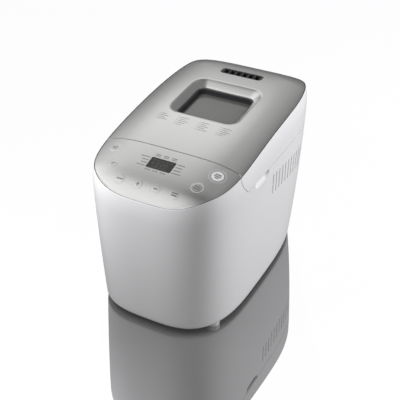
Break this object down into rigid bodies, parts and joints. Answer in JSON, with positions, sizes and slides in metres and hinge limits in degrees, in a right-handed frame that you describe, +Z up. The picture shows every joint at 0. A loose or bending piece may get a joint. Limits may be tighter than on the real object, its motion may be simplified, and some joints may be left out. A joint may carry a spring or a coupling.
{
  "type": "bread machine",
  "caption": "Household bread machine with a hinged windowed lid, sloping control panel, lift-out pan, turning paddles and belt drive.",
  "frame": {"origin": "On the floor under the middle of the footprint", "axes": "+Z up, -Y towards the control panel at the front, +X to the right of someone facing the front, row +X"},
  "size_m": [0.2496, 0.4096, 0.3049],
  "materials": {
    "white_plastic": "glossy white moulding",
    "silver_plate": "silver metallic, satin",
    "key_plastic": "silver satin",
    "dark_plastic": "dark matt",
    "rubber": "matt black",
    "seal_rubber": "matt red-brown silicone",
    "display": "dark display",
    "board": "green laminate",
    "glass": "clear tempered",
    "aluminium": "satin sheet",
    "steel": "plain steel",
    "motor_steel": "grey laminated steel and paint",
    "capacitor_can": "plain can",
    "element": "dark oxidised tube",
    "ceramic": "off-white ceramic",
    "insulation": "fibre blanket",
    "nonstick": "dark non-stick coat",
    "bronze": "sintered bronze"
  },
  "bodies": {
    "base": {"housing": "white_plastic", "base_plate": "dark_plastic", "feet": "white_plastic", "control_panel": "silver_plate", "lcd_lens": "display", "lcd_module": "display", "control_board": "board", "hinge_pins": "steel", "oven_liner": "steel", "oven_insulation": "insulation", "heating_element": "element", "element_bushings": "ceramic", "element_clips": "steel", "temperature_probe": "steel", "pan_seat": "steel", "chassis": "steel", "drive_bearings": "bronze", "drive_belt": "rubber", "link_belt": "rubber", "motor": "motor_steel", "motor_mount": "steel", "capacitor": "capacitor_can", "power_board": "board", "base_screws": "steel", "power_inlet": "dark_plastic"},
    "lid": {"lid_shell": "white_plastic", "lid_top_plate": "silver_plate", "window_bezel": "silver_plate", "window_well": "dark_plastic", "window_glass": "glass", "window_gasket": "rubber", "steam_vent_grille": "dark_plastic", "steam_duct": "dark_plastic", "lid_liner": "aluminium", "inner_glass": "glass", "lid_seal": "seal_rubber", "lid_screws": "steel"},
    "key_program_body": {"key_program": "key_plastic"},
    "key_crust_body": {"key_crust": "key_plastic"},
    "key_dough_body": {"key_dough": "key_plastic"},
    "key_plus_body": {"key_plus": "key_plastic"},
    "key_minus_body": {"key_minus": "key_plastic"},
    "key_light_body": {"key_light": "key_plastic"},
    "key_timer_body": {"key_timer": "key_plastic"},
    "key_start_body": {"key_start": "key_plastic"},
    "pan": {"bread_pan": "nonstick", "pan_foot": "steel"},
    "handle": {"pan_handle": "steel"},
    "paddle_a": {"paddle_shaft_front": "steel", "paddle_front": "nonstick"},
    "paddle_b": {"paddle_shaft_rear": "steel", "paddle_rear": "nonstick"},
    "drive_a": {"drive_shaft_front": "steel"},
    "drive_b": {"drive_shaft_rear": "steel"},
    "rotor": {"motor_rotor": "steel"}
  },
  "joints": [
    {"name": "lid_hinge", "type": "hinge", "parent": "base", "child": "lid", "pos_m": [0, 0.197, 0.2422], "axis": [-1, 0, 0], "range_deg": [0, 80]},
    {"name": "key_program_press", "type": "slide", "parent": "base", "child": "key_program_body", "axis": [0.1695, 0.2059, -0.9638], "range_m": [0, 0.0008], "stiffness_N_per_m": 400},
    {"name": "key_crust_press", "type": "slide", "parent": "base", "child": "key_crust_body", "axis": [0.0852, 0.2324, -0.9689], "range_m": [0, 0.0008], "stiffness_N_per_m": 400},
    {"name": "key_dough_press", "type": "slide", "parent": "base", "child": "key_dough_body", "axis": [0.0191, 0.2496, -0.9682], "range_m": [0, 0.0008], "stiffness_N_per_m": 400},
    {"name": "key_plus_press", "type": "slide", "parent": "base", "child": "key_plus_body", "axis": [0.0004, 0.2496, -0.9683], "range_m": [0, 0.0008], "stiffness_N_per_m": 400},
    {"name": "key_minus_press", "type": "slide", "parent": "base", "child": "key_minus_body", "axis": [-0.0004, 0.2496, -0.9683], "range_m": [0, 0.0008], "stiffness_N_per_m": 400},
    {"name": "key_light_press", "type": "slide", "parent": "base", "child": "key_light_body", "axis": [-0.0191, 0.2496, -0.9682], "range_m": [0, 0.0008], "stiffness_N_per_m": 400},
    {"name": "key_timer_press", "type": "slide", "parent": "base", "child": "key_timer_body", "axis": [-0.0852, 0.2324, -0.9689], "range_m": [0, 0.0008], "stiffness_N_per_m": 400},
    {"name": "key_start_press", "type": "slide", "parent": "base", "child": "key_start_body", "axis": [-0.1695, 0.2059, -0.9638], "range_m": [0, 0.0008], "stiffness_N_per_m": 400},
    {"name": "pan_lift", "type": "slide", "parent": "base", "child": "pan", "axis": [0, 0, 1], "range_m": [0, 0.012]},
    {"name": "handle_swing", "type": "hinge", "parent": "pan", "child": "handle", "pos_m": [0, 0.042, 0.182], "axis": [0, -1, 0], "range_deg": [0, 25]},
    {"name": "drive_a_spin", "type": "hinge", "parent": "base", "child": "drive_a", "pos_m": [0, -0.003, 0.05], "axis": [0, 0, 1], "continuous": true},
    {"name": "drive_b_spin", "type": "hinge", "parent": "base", "child": "drive_b", "pos_m": [0, 0.087, 0.05], "axis": [0, 0, 1], "continuous": true},
    {"name": "rotor_spin", "type": "hinge", "parent": "base", "child": "rotor", "pos_m": [0, -0.138, 0.05], "axis": [0, 0, 1], "continuous": true},
    {"name": "paddle_a_spin", "type": "hinge", "parent": "pan", "child": "paddle_a", "pos_m": [0, -0.003, 0.09], "axis": [0, 0, 1], "continuous": true},
    {"name": "paddle_b_spin", "type": "hinge", "parent": "pan", "child": "paddle_b", "pos_m": [0, 0.087, 0.09], "axis": [0, 0, 1], "continuous": true}
  ],
  "couplings": [
    {"joint": "drive_b_spin", "follows": "drive_a_spin", "ratio": 1},
    {"joint": "rotor_spin", "follows": "drive_a_spin", "ratio": 5},
    {"joint": "paddle_a_spin", "follows": "drive_a_spin", "ratio": 1},
    {"joint": "paddle_b_spin", "follows": "drive_a_spin", "ratio": 1}
  ]
}
